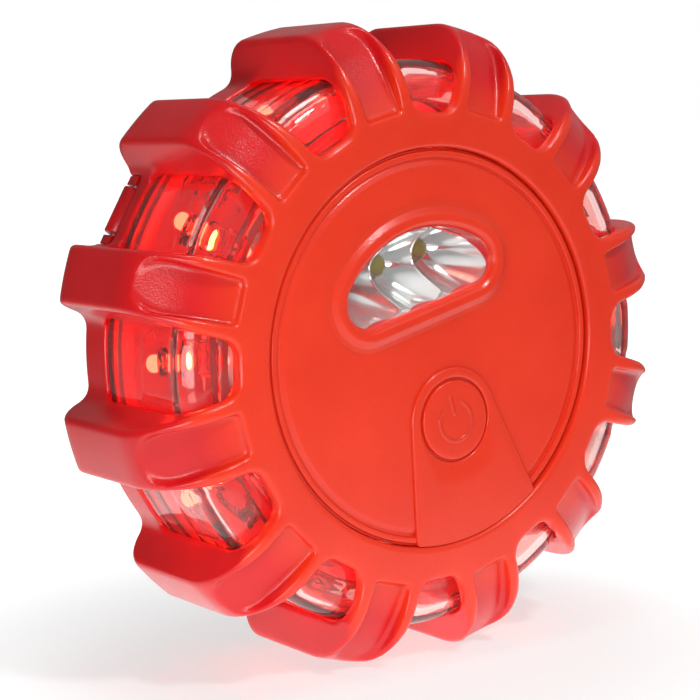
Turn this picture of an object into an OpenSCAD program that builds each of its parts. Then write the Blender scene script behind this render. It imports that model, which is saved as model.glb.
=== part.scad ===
// Round LED safety flare standing on its edge: a clear ring lens and hard shells
// inside a soft twelve-lobed boot, with a lamp and a push button on the face.
// Local frame of every module: +Z runs from the back plane to the face, +Y points
// to 12 o'clock as seen from the front. stand() turns it to +Z up, face to -Y.

/* [Overall] */
// Diameter over the lobe crests
outer_d = 110.6; // [106:0.2:114]
// Depth from the back plane of the boot to the face ring
depth = 34.5; // [34:0.5:36]
// Number of bumper lobes and of lens windows
lobes = 12; // [12]
// Turn of the lamp and button to the left of upright
face_turn = 15; // [0:15:15]

/* [Boot] */
// Radius of the clear lens seen in the windows
lens_r = 48; // [47.5:0.1:48.2]
// Inner radius of the face ring
ring_in_r = 33.5; // [33.4:0.1:34]
// Outer radius of the face ring at a window
ring_out_r = 39.2; // [38.5:0.1:40]
// Half width of a lobe at its crest
crest_half = 5; // [4.5:0.1:5.5]
// Radius that rounds a lobe from the face to its crest
shoulder_r = 13; // [9:0.5:14]
// Width of the back band that joins the lobes
band_w = 7.3; // [6:0.1:8]
// Half width of the scoop in a lobe
scoop_half = 3.4; // [3:0.1:3.6]
// How far the scoop runs back along the crest
scoop_len = 9.2; // [8:0.1:10]

/* [Face] */
// Radius of the raised disc of the front panel
disc_r = 31.3; // [31:0.1:31.5]
// Height of the button centre below the axis
button_drop = 12.8; // [12:0.1:13.5]
// Radius of the button cap
button_r = 6.8; // [6.5:0.1:7]
// Radius of the soft surround round the button
surround_r = 9; // [8.5:0.1:9.5]
// Flare of the two edges of the surround
surround_flare = 12.9; // [10:0.1:14]
// Travel of the button
button_travel = 0.4; // [0.3:0.05:0.5]

/* [Lamp] */
// Radius of the arched top of the lamp window
lamp_arch_r = 20.3; // [20:0.1:20.6]
// Height of the flat lower edge of the lamp window above the axis
lamp_base = 7.5; // [7:0.1:8]
// Half width of the lamp window
lamp_half = 15.3; // [15:0.1:15.6]
// Distance between neighbouring white LEDs
lamp_pitch = 9.1; // [8.8:0.1:9.2]
// Height of the white LEDs above the axis
lamp_led_y = 14; // [13.8:0.1:14.2]

/* [Back] */
// Radius of the back cover
cover_r = 44.4; // [44:0.1:44.4]
// Thickness of the back cover
cover_t = 3.6; // [3.4:0.1:3.7]
// Clock angle of the hanging hook, in degrees
hook_clock = 300; // [300]
// Radius of a magnet
magnet_r = 7.9; // [7:0.1:8]
// How far the magnets stand out of the back plane
magnet_proud = 0.4; // [0.3:0.1:0.6]
// Inner radius of the eye of the hook
eye_r = 4.2; // [4:0.1:4.3]

/* [Hidden] */
big_fn = 128;
mid_fn = 64;
small_fn = 32;
step = 360 / lobes;
crest_r = outer_d / 2;
// Lobe corner: half angle at the crest, and the height of the axis above the floor
crest_angle = asin(crest_half / crest_r);
axis_h = crest_r * cos(step / 2 - crest_angle);
// Middle of the whole depth, from the magnets' faces to the face ring
mid_y = (depth - magnet_proud) / 2;
gap = 0.1;
eps = 0.01;
// Boot
lip_z = depth - 2.2;
lip_t = 1.5;
step_z = band_w + 0.2;
foot_z = 4;
window_front_half = 5;
window_lens_half = 6.65;
window_corner_r = 3;
// Lens
lens_front_z = depth - 2.8;
lens_corner_r = 4.7;
lens_wall = 2.1;
lens_in_r = lens_r - lens_wall;
lens_foot_r = 46.3;
foot_in_r = 44.6;
shelf_top = lens_front_z - 2.4;
shelf_t = 1.8;
// Front panel
plate_z = lip_z - 0.7;
plate_top = depth - 1.5;
disc_top = depth - 0.9;
rim_top = depth - 0.2;
flange_z = shelf_top + gap;
flange_r = 38.7;
seal_r = 36.2;
boss_at_r = 38.4;
boss_r = 2.8;
// Board
board_r = 34.9;
board_z = 17.3;
board_t = 1.6;
board_top = board_z + board_t;
post_at_r = 30;
// Battery bay, in the frame of the hook: cells lie along X
cell_r = 5.25;
cell_len = 44.5;
cell_pitch = 10.9;
bay_half = 25.6;
bay_low = -30.6;
bay_high = 2.6;
bay_mid = (bay_low + bay_high) / 2;
bay_top = 14.1;
bay_wall = 1.2;
cell_z = 8.65;
door_margin = 2;
door_t = 1.5;
door_screw_x = 30.6;
door_ear_r = 3.4;
// Hook
hinge_y = 47.2;
hinge_z = 1.9;
barrel_r = 1.8;
pin_r = 0.65;
ear_r = 1.4;
hook_half = 4.2;
hook_t = 2;
eye_y = 21.5;
eye_out_r = 7.5;
magnet_x = 19;
magnet_y = 24;
magnet_t = 3;

module stand() { translate([0, mid_y, axis_h]) rotate([90, 0, 0]) children(); }
module at_clock(a) { rotate([0, 0, -a]) children(); }
module on_face() { rotate([0, 0, face_turn]) children(); }
module on_hook() { at_clock(hook_clock) children(); }
module disc(r, z0, z1, fn = mid_fn) { translate([0, 0, z0]) cylinder(r = r, h = z1 - z0, $fn = fn); }
module block(x0, x1, y0, y1, z0, z1) { translate([x0, y0, z0]) cube([x1 - x0, y1 - y0, z1 - z0]); }
module each_boss() { for (k = [0 : 3]) at_clock(45 + 90 * k) translate([0, boss_at_r, 0]) children(); }
module each_post() { for (a = [75, 195, 315]) at_clock(a) translate([0, post_at_r, 0]) children(); }

// Points of an arc from angle a0 to a1, in n steps
function arc(cx, cy, r, a0, a1, n) =
    [for (i = [0 : n]) let (a = a0 + (a1 - a0) * i / n) [cx + r * cos(a), cy + r * sin(a)]];

// Arched D outline: concentric arch, flat base and two round corners tangent to both
function corner_r(arch, base, half) =
    let (b = 2 * (arch + base - half), c = half * half + base * base - arch * arch)
    (-b + sqrt(b * b - 4 * c)) / 2;
module d_outline(arch, base, half) {
    r = corner_r(arch, base, half);
    cx = half - r;
    cy = base + r;
    a = atan2(cy, cx);
    polygon(concat(arc(cx, cy, r, -90, a, 9), arc(0, 0, arch, a + 2.5, 177.5 - a, 30), arc(-cx, cy, r, 180 - a, 270, 9)));
}

// ---- Soft boot ----
module boot_profile() {
    foot_r = 5;
    arc_z = lens_front_z - lens_corner_r;
    bend_r = lens_r - lens_corner_r;
    step_r = lens_foot_r + gap;
    polygon(concat([[cover_r + 0.2, 0]], arc(crest_r - foot_r, foot_r, foot_r, -90, 0, 4),
        arc(crest_r - shoulder_r, depth - shoulder_r, shoulder_r, 0, 90, 12),
        [[ring_in_r, depth], [ring_in_r, lens_front_z]], arc(bend_r, arc_z, lens_corner_r, 90, 0, 6),
        [[lens_r, step_z], [step_r, step_z], [step_r, lip_t], [cover_r + 0.2, lip_t]]));
}
module window_outline() {
    corner_a = step / 2 - crest_angle;
    tip = [crest_r * sin(corner_a), crest_r * cos(corner_a)];
    low = [window_lens_half + 0.15, lens_r + 0.1];
    far = low + (tip - low) * 2.2;
    round_x = window_front_half - window_corner_r;
    round_y = ring_out_r + window_corner_r;
    polygon(concat([[-far[0], far[1]], [-low[0], low[1]]],
        arc(-round_x, round_y, window_corner_r, 180, 270, 6), arc(round_x, round_y, window_corner_r, 270, 360, 6),
        [low, far]));
}
module window_cut() {
    difference() {
        translate([0, 0, -1]) linear_extrude(depth + 2) window_outline();
        disc(lens_r + 0.3, -2, band_w, big_fn);
    }
}
module scoop_cut() {
    end_z = depth - scoop_len;
    reach = crest_r - 32;
    slot = concat(arc(0, end_z + scoop_half, scoop_half, 180, 360, 14), [[scoop_half, depth + 3], [-scoop_half, depth + 3]]);
    intersection() {
        rotate_extrude($fn = big_fn) polygon([[39.6, depth + 2], [39.6, depth - 1.1], [48.3, depth - 3.6],
            [crest_r, depth - scoop_len - 0.4], [crest_r + 6, depth - scoop_len - 6], [crest_r + 6, depth + 2]]);
        translate([0, 36 + reach, 0]) rotate([90, 0, 0]) linear_extrude(reach) polygon(slot);
    }
}
module bumper_boot() {
    color("orangered") stand() difference() {
        rotate_extrude($fn = big_fn) boot_profile();
        for (k = [0 : lobes - 1]) at_clock(k * step) window_cut();
        for (k = [0 : lobes - 1]) at_clock((k + 0.5) * step) scoop_cut();
        on_hook() block(-hook_half - 2.2, hook_half + 2.2, 43, 52, -1, foot_z - 0.05);
    }
}

// ---- Front panel, button and lamp ----
module surround_outline(grow, limit) {
    a = surround_flare;
    r = surround_r + grow;
    run = 30;
    foot = [r * cos(a) + run * sin(a), -button_drop + r * sin(a) - run * cos(a)];
    intersection() {
        polygon(concat([foot], arc(0, -button_drop, r, a, 180 - a, 24), [[-foot[0], foot[1]]]));
        circle(r = limit, $fn = big_fn);
    }
}
module front_panel() {
    color("tomato") stand() difference() {
        union() {
            disc(ring_in_r - gap, plate_z, plate_top, big_fn);
            disc(disc_r, plate_z, disc_top, big_fn);
            difference() {
                disc(disc_r + 1.5, plate_z, disc_top + 0.1, big_fn);
                disc(disc_r + 0.6, plate_z - 1, depth, big_fn);
            }
            // Skirt, and flange let into the front of the lens
            difference() {
                union() {
                    disc(ring_in_r - gap, flange_z - 2.4, plate_top, big_fn);
                    disc(flange_r, flange_z, lens_front_z - gap, big_fn);
                }
                disc(ring_in_r - 1.8, 0, plate_z, big_fn);
            }
            each_post() disc(2.4, board_top, plate_z + eps);
            // Raised frame of the lamp
            on_face() translate([0, 0, plate_z]) linear_extrude(disc_top + 0.3 - plate_z) d_outline(23.2, 4.9, 19.2);
            on_face() translate([0, 0, plate_z]) linear_extrude(rim_top - plate_z) d_outline(22.5, 5.5, 18.2);
            on_face() translate([0, 0, plate_z - 6.5]) linear_extrude(7)
                d_outline(lamp_arch_r + 1.9, lamp_base - 1.9, lamp_half + 1.9);
        }
        difference() {
            disc(seal_r + 0.95, 0, shelf_top + 1.7, big_fn);
            disc(seal_r - 0.95, -1, depth + 1, big_fn);
        }
        // Lamp opening with a ledge for its window
        on_face() translate([0, 0, 0]) linear_extrude(depth) d_outline(lamp_arch_r, lamp_base, lamp_half);
        on_face() translate([0, 0, lip_z - 0.3]) linear_extrude(4)
            d_outline(lamp_arch_r + 0.8, lamp_base - 0.8, lamp_half + 0.8);
        // Bed of the soft surround and the hole for the button
        on_face() translate([0, 0, plate_top]) linear_extrude(3) surround_outline(0.05, ring_in_r + 1);
        on_face() translate([0, -button_drop, 0]) disc(button_r + 0.35, plate_z - 2, depth);
        each_post() disc(0.85, board_top - 1, board_top + 6, small_fn);
    }
}
module button_surround() {
    color("orangered") stand() on_face() difference() {
        translate([0, 0, plate_top]) linear_extrude(rim_top - 0.1 - plate_top) surround_outline(0, ring_in_r - gap);
        translate([0, -button_drop, 0]) disc(button_r + 0.35, 0, depth + 1);
    }
}
module power_button() {
    cap_top = depth - 0.15;
    color("tomato") stand() on_face() translate([0, -button_drop, 0]) difference() {
        union() {
            disc(button_r, plate_z - 0.5, cap_top);
            disc(button_r + 1, plate_z - 1.1, plate_z - gap);
            disc(2, plate_z - 1.6, plate_z, small_fn);
        }
        // Shallow dish with the usual power sign: a broken ring and a bar
        translate([0, 0, cap_top - 0.3]) difference() {
            cylinder(r = 5.4, h = 1, $fn = mid_fn);
            translate([0, 0, -1]) difference() {
                cylinder(r = 3.75, h = 1.2, $fn = mid_fn);
                translate([0, 0, -1]) cylinder(r = 3.05, h = 4, $fn = mid_fn);
                block(-1.4, 1.4, 1, 5, -1, 4);
            }
            block(-0.35, 0.35, 0.8, 4.6, -1, 0.2);
        }
    }
}
module lamp_window() {
    color("white", 0.35) stand() on_face() translate([0, 0, lip_z - 0.25]) linear_extrude(1.4)
        d_outline(lamp_arch_r + 0.7, lamp_base - 0.7, lamp_half + 0.7);
}
module each_lamp() { for (k = [-1 : 1]) translate([k * lamp_pitch, lamp_led_y, 0]) children(); }
module lamp_reflector() {
    top = lip_z - 0.4;
    cup_h = 10.3;
    steps = 6;
    low_r = 1.8;
    high_r = 7.2;
    // Paraboloid: radius grows with the square root of the height
    cup = [for (i = [0 : steps]) let (h = cup_h * i / steps)
        [sqrt(low_r * low_r + (high_r * high_r - low_r * low_r) * h / cup_h), top - cup_h + h]];
    color("silver") stand() on_face() difference() {
        translate([0, 0, top - cup_h - 0.4]) linear_extrude(cup_h + 0.4)
            d_outline(lamp_arch_r - 0.1, lamp_base + 0.1, lamp_half - 0.1);
        each_lamp() rotate_extrude($fn = mid_fn)
            polygon(concat([[0, top - cup_h - 1], [low_r, top - cup_h - 1]], cup, [[high_r, top + 1], [0, top + 1]]));
    }
}
// LED of 5 mm before scaling: dome up +Z, foot at the origin
module led(barrel = 5.8, fn = small_fn) {
    cylinder(r = 2.9, h = 1, $fn = fn);
    cylinder(r = 2.5, h = barrel, $fn = fn);
    translate([0, 0, barrel]) intersection() {
        sphere(r = 2.5, $fn = fn);
        cylinder(r = 3, h = 3, $fn = fn);
    }
}
module white_leds() {
    foot = board_top + 0.2;
    color("lightyellow") stand() on_face() each_lamp() {
        translate([0, 0, foot]) scale(0.6) led(3.6);
        for (s = [-1, 1]) block(s * 1.1 - 0.25, s * 1.1 + 0.25, -0.25, 0.25, board_top, foot + 0.2);
    }
}

// ---- Ring lens and lights ----
module ring_lens() {
    arc_z = lens_front_z - lens_corner_r;
    face_z = lens_front_z - gap;
    front_in_z = face_z - lens_wall;
    bend_r = lens_r - lens_corner_r;
    rib_h = 0.7;
    rib_w = 2.1;
    color("mistyrose", 0.5) stand() difference() {
        union() {
            rotate_extrude($fn = big_fn) {
                // Foot inside the band of the boot, then the wall seen in the windows
                polygon([[foot_in_r, foot_z + gap], [lens_foot_r, foot_z + gap], [lens_foot_r, step_z + gap],
                         [lens_r - gap, step_z + gap], [lens_r - gap, arc_z], [lens_in_r, arc_z],
                         [lens_in_r, band_w + 2.8], [foot_in_r, band_w + 1.5]]);
                difference() {
                    translate([bend_r, arc_z]) circle(r = lens_corner_r - gap, $fn = mid_fn);
                    translate([bend_r, arc_z]) circle(r = lens_corner_r - lens_wall, $fn = mid_fn);
                    translate([bend_r - lens_corner_r, 0]) square([lens_corner_r, depth]);
                    translate([bend_r - lens_corner_r, 0]) square([2 * lens_corner_r, arc_z]);
                }
                translate([flange_r + gap, front_in_z]) square([bend_r - flange_r - gap, lens_wall]);
                // Shelf that the front panel is bonded to
                translate([flange_r + gap, shelf_top - shelf_t]) square([2.4, face_z - shelf_top + shelf_t]);
                translate([ring_in_r + 0.2, shelf_top - shelf_t]) square([flange_r + 2.4 - ring_in_r, shelf_t]);
                // Light-bending ribs round the inside
                for (k = [0 : 6]) translate([lens_in_r + eps, band_w + 3 + k * rib_w])
                    polygon([[0, 0], [0, rib_w], [-rib_h, rib_w * 0.12]]);
            }
            each_boss() disc(boss_r, cover_t + gap, shelf_top - 0.5, small_fn);
        }
        each_boss() disc(1.25, 0, 18, small_fn);
    }
}
module red_leds() {
    axis_z = board_z + board_t / 2;
    color("red") stand() for (k = [0 : lobes - 1]) at_clock(k * step) {
        translate([0, board_r + 0.2, axis_z]) rotate([-90, 0, 0]) led();
        for (s = [-1, 1]) translate([0, 0, axis_z]) {
            block(-0.25, 0.25, board_r - 2.4, board_r + 0.4, s * 1.15 - 0.25, s * 1.15 + 0.25);
            translate([0, board_r - 1.6, s > 0 ? board_t / 2 : -1.3]) cylinder(r = 0.8, h = 1.3 - board_t / 2, $fn = small_fn);
        }
    }
}
module led_board() {
    color("seagreen") stand() difference() {
        disc(board_r, board_z, board_top, big_fn);
        on_face() translate([0, -button_drop, 0]) each_leg() block(-0.55, 0.55, -0.45, 0.45, 0, depth);
        each_post() disc(1.05, 0, depth, small_fn);
    }
}
module board_parts() {
    color("dimgray") stand() on_face() {
        block(-4, 4, -1, 3, board_top, board_top + 1.5);
        for (s = [-1, 1]) for (k = [0 : 3])
            block(-3 + 1.9 * k, -2.5 + 1.9 * k, 1 + s * 2 - 0.9, 1 + s * 2 + 0.9, board_top, board_top + 0.5);
        for (k = [0 : 4]) block(-14 + 2.6 * k, -12.6 + 2.6 * k, -6.5, -5.8, board_top, board_top + 0.6);
        for (k = [0 : 3]) block(14, 16, -10 + 3.4 * k, -8.8 + 3.4 * k, board_top, board_top + 0.6);
        translate([-18, -12, 0]) disc(3.2, board_top, board_top + 6.5);
        translate([-16, 1, 0]) disc(2, board_top, board_top + 5, small_fn);
        block(12, 15.4, -19, -16, board_top, board_top + 1.8);
    }
}
module board_screws() {
    color("silver") stand() each_post() {
        disc(1.9, board_z - 1.1, board_z, small_fn);
        disc(0.8, board_z - 0.2, board_top + 4.5, small_fn);
    }
}
module each_leg() { for (x = [-3.4, 3.4]) for (y = [-2.25, 2.25]) translate([x, y, 0]) children(); }
module switch_body() {
    color("darkslategray") stand() on_face() translate([0, -button_drop, 0]) difference() {
        union() {
            block(-3, 3, -3, 3, board_top, board_top + 3.4);
            disc(2.6, board_top, board_top + 3.8, small_fn);
            each_leg() block(-0.45, 0.45, -0.35, 0.35, board_z - 0.9, board_top + 1);
        }
        disc(1.8, board_top + 1, depth, small_fn);
    }
}
module switch_plunger() {
    color("black") stand() on_face() translate([0, -button_drop, 0])
        disc(1.75, board_top + 1 + button_travel + gap, plate_z - 1.6 - gap, small_fn);
}
module front_seal() {
    color("dimgray") stand() rotate_extrude($fn = big_fn) translate([seal_r, shelf_top + 0.82]) circle(r = 0.8, $fn = small_fn);
}

// ---- Back cover, battery bay and hook ----
module door_outline(grow) {
    x = bay_half + door_margin + grow;
    y0 = bay_low - door_margin - grow;
    y1 = bay_high + door_margin + grow;
    r = 2.5;
    translate([-x, y0 + r]) square([2 * x, y1 - y0 - 2 * r]);
    translate([-x + r, y0]) square([2 * x - 2 * r, y1 - y0]);
    for (s = [-1, 1]) for (y = [y0 + r, y1 - r]) translate([s * (x - r), y]) circle(r = r, $fn = mid_fn);
    for (s = [-1, 1]) translate([s * door_screw_x, bay_mid]) circle(r = door_ear_r + grow, $fn = mid_fn);
}
module hook_outline(grow) {
    translate([-hook_half - grow, eye_y]) square([2 * (hook_half + grow), hinge_y - eye_y]);
    translate([0, eye_y]) circle(r = eye_out_r + grow, $fn = mid_fn);
}
function tag_y(s) = bay_mid - s * cell_pitch + (s > 0 ? 3 : 0);
module cover_shell() {
    edge_z = lip_t + gap;
    spigot_r = foot_in_r - 0.2;
    difference() {
        union() {
            disc(cover_r, 0, cover_t, big_fn);
            // Rim under the foot of the lens and spigot inside it
            difference() {
                union() {
                    disc(lens_foot_r, edge_z, foot_z, big_fn);
                    disc(spigot_r, foot_z - 1, foot_z + 2.8, big_fn);
                }
                disc(cover_r - 3, 0, depth, big_fn);
            }
            on_hook() {
                // Walls and roof of the battery bay
                block(-bay_half - bay_wall, bay_half + bay_wall, bay_low - bay_wall, bay_high + bay_wall, 0, bay_top + 1);
                // Cups of the magnets and posts for the door screws
                for (s = [-1, 1]) translate([s * magnet_x, magnet_y, 0]) disc(magnet_r + 1.3, 1, magnet_t + 1);
                for (s = [-1, 1]) translate([s * door_screw_x, bay_mid, 0]) disc(2.6, cover_t - 1, 10);
            }
        }
        // Seal groove round the spigot
        difference() {
            disc(foot_in_r + 1, foot_z + 0.55, foot_z + 2.05, big_fn);
            disc(foot_in_r - 1.45, 0, depth, big_fn);
        }
        each_boss() {
            disc(2.6, -1, 1.9, small_fn);
            disc(1.4, 0, depth, small_fn);
        }
        on_hook() {
            block(-bay_half, bay_half, bay_low, bay_high, -1, bay_top);
            translate([0, 0, -1]) linear_extrude(1 + door_t + 0.6) door_outline(0.2);
            for (s = [-1, 1]) translate([s * door_screw_x, bay_mid, 0]) disc(1.05, 0, 9, small_fn);
            for (s = [-1, 1]) translate([s * magnet_x, magnet_y, 0]) disc(magnet_r + 0.05, -1, magnet_t - magnet_proud, mid_fn);
            // Recess that the hook folds into, with a finger dip beside its eye
            translate([0, 0, -1]) linear_extrude(1 + hook_t + 0.4) hook_outline(0.5);
            translate([0, eye_y - eye_out_r, 0]) disc(3, -1, hook_t + 0.4);
            block(-hook_half - 0.5, hook_half + 0.5, hinge_y - barrel_r - 0.4, hinge_y + 3, -1, foot_z + 0.3);
            // Slots for the contact tags
            for (s = [-1, 1]) translate([s * (bay_half - 0.3), tag_y(s), 0]) block(-0.4, 0.4, -1.5, 1.5, bay_top - 1, bay_top + 2);
        }
    }
}
module hinge_ears() {
    // The ears end level with the band, so only the hook's foot stands out of it
    for (s = [-1, 1]) translate([s * (hook_half + 1.3), 0, 0])
        block(-0.8, 0.8, 42.5, hinge_y + 1.05, hinge_z - ear_r, hinge_z + ear_r);
}
module back_cover() {
    color("firebrick") stand() union() {
        cover_shell();
        on_hook() difference() {
            hinge_ears();
            translate([-20, hinge_y, hinge_z]) rotate([0, 90, 0]) cylinder(r = pin_r, h = 40, $fn = small_fn);
        }
    }
}
module rear_seal() {
    color("dimgray") stand() rotate_extrude($fn = big_fn) translate([foot_in_r - 0.72, foot_z + 1.3]) circle(r = 0.7, $fn = small_fn);
}
module case_screws() {
    color("silver") stand() each_boss() difference() {
        union() {
            disc(2.4, 0.3, 1.9, small_fn);
            disc(1.2, 1, 15, small_fn);
        }
        block(-1.4, 1.4, -0.25, 0.25, -1, 1);
        block(-0.25, 0.25, -1.4, 1.4, -1, 1);
    }
}
// Cell along X, pushed by its spring towards the far contact; way is the side of its raised end
module cell(k, way) {
    at = way * (bay_half - 0.65 - cell_len / 2);
    on_hook() translate([at, bay_mid + (k - 1) * cell_pitch, cell_z]) rotate([0, way * 90, 0]) translate([0, 0, -cell_len / 2]) {
        cylinder(r = cell_r, h = cell_len - 1, $fn = mid_fn);
        cylinder(r = 1.9, h = cell_len, $fn = small_fn);
    }
}
module battery_cell_1() { color("goldenrod") stand() cell(0, 1); }
module battery_cell_2() { color("goldenrod") stand() cell(1, -1); }
module battery_cell_3() { color("goldenrod") stand() cell(2, 1); }
module contact_plates() {
    t = 0.35;
    h = 4;
    // Each end has one single plate with a tag up to the board and one plate over two cells
    color("silver") stand() on_hook() for (s = [-1, 1]) {
        x0 = s > 0 ? bay_half - gap - t : -bay_half + gap;
        single_y = bay_mid - s * cell_pitch;
        pair_y = bay_mid + s * cell_pitch / 2;
        block(x0, x0 + t, single_y - h, single_y + h, cell_z - h, cell_z + h);
        block(x0, x0 + t, pair_y - cell_pitch / 2 - h, pair_y + cell_pitch / 2 + h, cell_z - h, cell_z + h);
        block(x0, x0 + t, tag_y(s) - 1, tag_y(s) + 1, cell_z, board_z - gap);
    }
}
// Widening spring of four coils joined by short links, foot at the origin
module spring_coil(len) {
    wire = 0.38;
    rise = (len - 2 * wire) / 3;
    for (i = [0 : 3]) translate([0, 0, wire + i * rise]) rotate_extrude($fn = mid_fn) translate([3.6 - 0.45 * i, 0]) circle(r = wire, $fn = small_fn);
    for (i = [0 : 2]) rotate([0, 0, 120 * i]) translate([3.375 - 0.45 * i, 0, wire + i * rise]) cylinder(r = 0.3, h = rise, $fn = small_fn);
}
module contact_springs() {
    plate_x = bay_half - gap - 0.35;
    len = 2 * plate_x - cell_len - 0.3;
    color("silver") stand() on_hook() for (k = [0 : 2]) {
        s = k == 1 ? 1 : -1;
        translate([s * (plate_x - 0.02), bay_mid + (k - 1) * cell_pitch, cell_z]) rotate([0, -s * 90, 0]) spring_coil(len);
    }
}
module battery_door() {
    color("firebrick") stand() on_hook() difference() {
        union() {
            linear_extrude(door_t) door_outline(0);
            // Locating rim inside the bay
            difference() {
                block(-bay_half + 0.3, bay_half - 0.3, bay_low + 0.3, bay_high - 0.3, door_t - eps, door_t + 1.2);
                block(-bay_half + 1.5, bay_half - 1.5, bay_low + 1.5, bay_high - 1.5, door_t - eps, door_t + 2);
            }
        }
        for (s = [-1, 1]) translate([s * door_screw_x, bay_mid, 0]) {
            disc(1.3, -1, 3, small_fn);
            disc(2.3, -1, 0.7, small_fn);
        }
    }
}
module door_seal() {
    color("dimgray") stand() on_hook() difference() {
        block(-bay_half - 1.4, bay_half + 1.4, bay_low - 1.4, bay_high + 1.4, door_t + 0.05, door_t + 0.6);
        block(-bay_half - 0.3, bay_half + 0.3, bay_low - 0.3, bay_high + 0.3, 0, depth);
    }
}
module door_screws() {
    color("silver") stand() on_hook() for (s = [-1, 1]) translate([s * door_screw_x, bay_mid, 0]) difference() {
        union() {
            disc(2.1, 0.05, 0.7, small_fn);
            disc(1, 0.6, 7, small_fn);
        }
        block(-2.2, 2.2, -0.25, 0.25, -1, 0.35);
    }
}
module magnets() {
    color("gray") stand() on_hook() for (s = [-1, 1]) translate([s * magnet_x, magnet_y, 0])
        disc(magnet_r, -magnet_proud, magnet_t - magnet_proud - 0.05);
}
module hanging_hook() {
    color("crimson") stand() on_hook() difference() {
        union() {
            translate([0, 0, 0.1]) linear_extrude(hook_t) hook_outline(0);
            translate([-hook_half, hinge_y, hinge_z]) rotate([0, 90, 0]) cylinder(r = barrel_r, h = 2 * hook_half, $fn = small_fn);
        }
        translate([0, eye_y, 0]) disc(eye_r, -1, 4);
        // Mouth of the eye
        translate([0, eye_y, -1]) linear_extrude(5) polygon([[0, 0], [20, 9], [20, -9]]);
        translate([-20, hinge_y, hinge_z]) rotate([0, 90, 0]) cylinder(r = pin_r + 0.05, h = 40, $fn = small_fn);
    }
}
module hook_pin() {
    half = hook_half + 2.1;
    color("silver") stand() on_hook() translate([-half, hinge_y, hinge_z]) rotate([0, 90, 0]) cylinder(r = pin_r, h = 2 * half, $fn = small_fn);
}

bumper_boot();
front_panel();
button_surround();
power_button();
lamp_window();
lamp_reflector();
white_leds();
ring_lens();
red_leds();
led_board();
board_parts();
board_screws();
switch_body();
switch_plunger();
front_seal();
rear_seal();
back_cover();
case_screws();
battery_cell_1();
battery_cell_2();
battery_cell_3();
contact_plates();
contact_springs();
battery_door();
door_seal();
door_screws();
magnets();
hanging_hook();
hook_pin();
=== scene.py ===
# LED safety flare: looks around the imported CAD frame.
# Local frame of the helpers: x right, y up, z towards the face, in millimetres,
# with z = 0 at the back plane of the boot and the object's axis at x = y = 0.
import math
import bpy
import bmesh
import numpy as np
from mathutils import Vector, Matrix


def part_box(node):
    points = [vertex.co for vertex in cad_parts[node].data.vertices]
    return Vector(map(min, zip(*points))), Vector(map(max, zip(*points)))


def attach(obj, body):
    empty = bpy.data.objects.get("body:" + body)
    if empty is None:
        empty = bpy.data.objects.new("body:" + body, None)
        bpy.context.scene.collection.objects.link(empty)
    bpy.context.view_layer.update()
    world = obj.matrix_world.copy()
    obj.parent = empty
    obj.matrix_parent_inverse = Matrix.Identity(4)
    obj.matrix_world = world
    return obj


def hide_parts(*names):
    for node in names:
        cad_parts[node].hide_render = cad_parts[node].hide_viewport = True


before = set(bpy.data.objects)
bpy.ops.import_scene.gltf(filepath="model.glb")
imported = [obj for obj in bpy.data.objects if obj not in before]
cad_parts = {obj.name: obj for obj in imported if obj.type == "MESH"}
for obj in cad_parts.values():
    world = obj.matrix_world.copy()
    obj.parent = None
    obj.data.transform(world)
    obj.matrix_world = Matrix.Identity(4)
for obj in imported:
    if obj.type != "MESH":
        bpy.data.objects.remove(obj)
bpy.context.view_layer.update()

LOBES = 12                     # lobes of the boot, and as many windows and red LEDs
SECTOR = math.radians(30)      # from one window to the next
HALF = SECTOR / 2
DEPTH = 34.5                   # from the back plane to the front of the boot
FACE_TURN = math.radians(15)   # how far the lamp and the button are turned
DISC_Z = 33.62                 # flat of the front panel
BUTTON_Y = -12.8               # middle of the button before that turn
PITCH = 9.1                    # between the white LEDs
LED_Y = 14.0                   # line of the white LEDs
HOOK = math.radians(300)       # clock angle of the hook
BOARD_Z = 18.1                 # line of the red LEDs
LED_FOOT = 35.1                # radius at the foot of a red LED

front_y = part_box("bumper_boot")[0].y
lens_lo, lens_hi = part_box("ring_lens")
axis_z = (lens_lo.z + lens_hi.z) / 2


def world_co(p):
    """Local millimetres to world metres, for an (n, 3) array."""
    p = np.asarray(p, float)
    return np.stack([p[:, 0] / 1000, front_y + (DEPTH - p[:, 2]) / 1000, axis_z + p[:, 1] / 1000], axis=1)


# ---------------------------------------------------------------- camera
def make_camera():
    az, el, roll = math.radians(-35.21), math.radians(6.79), math.radians(-1.153)
    rim = 0.03354                                  # radius of the panel's rim, in metres
    away, aside, above = 9.63 * rim, 0.447 * rim, 0.003 * rim
    look = Vector((-math.sin(az) * math.cos(el), math.cos(az) * math.cos(el), -math.sin(el)))
    right = look.cross(Vector((0, 0, 1))).normalized()
    up = right.cross(look)
    cam = bpy.data.cameras.new("camera")
    cam.sensor_width = 36
    cam.lens = 99.62
    cam.clip_start = 0.01
    obj = bpy.data.objects.new("camera", cam)
    bpy.context.scene.collection.objects.link(obj)
    rolled_right = right * math.cos(roll) + up * math.sin(roll)
    rolled_up = -right * math.sin(roll) + up * math.cos(roll)
    matrix = Matrix((rolled_right, rolled_up, -look)).transposed().to_4x4()
    matrix.translation = Vector((0, front_y, axis_z)) - look * away - right * aside + up * above
    obj.matrix_world = matrix
    bpy.context.scene.camera = obj


make_camera()


# ---------------------------------------------------------------- materials
def new_material(name):
    m = bpy.data.materials.new(name)
    m.use_nodes = True
    nt = m.node_tree
    return m, nt, nt.nodes["Principled BSDF"]


def noise(nt, scale, detail=2.0, rough=0.5):
    coord = nt.nodes.new("ShaderNodeTexCoord")
    tex = nt.nodes.new("ShaderNodeTexNoise")
    tex.inputs["Scale"].default_value = scale
    tex.inputs["Detail"].default_value = detail
    tex.inputs["Roughness"].default_value = rough
    nt.links.new(coord.outputs["Object"], tex.inputs["Vector"])
    return tex.outputs["Fac"]


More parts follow.
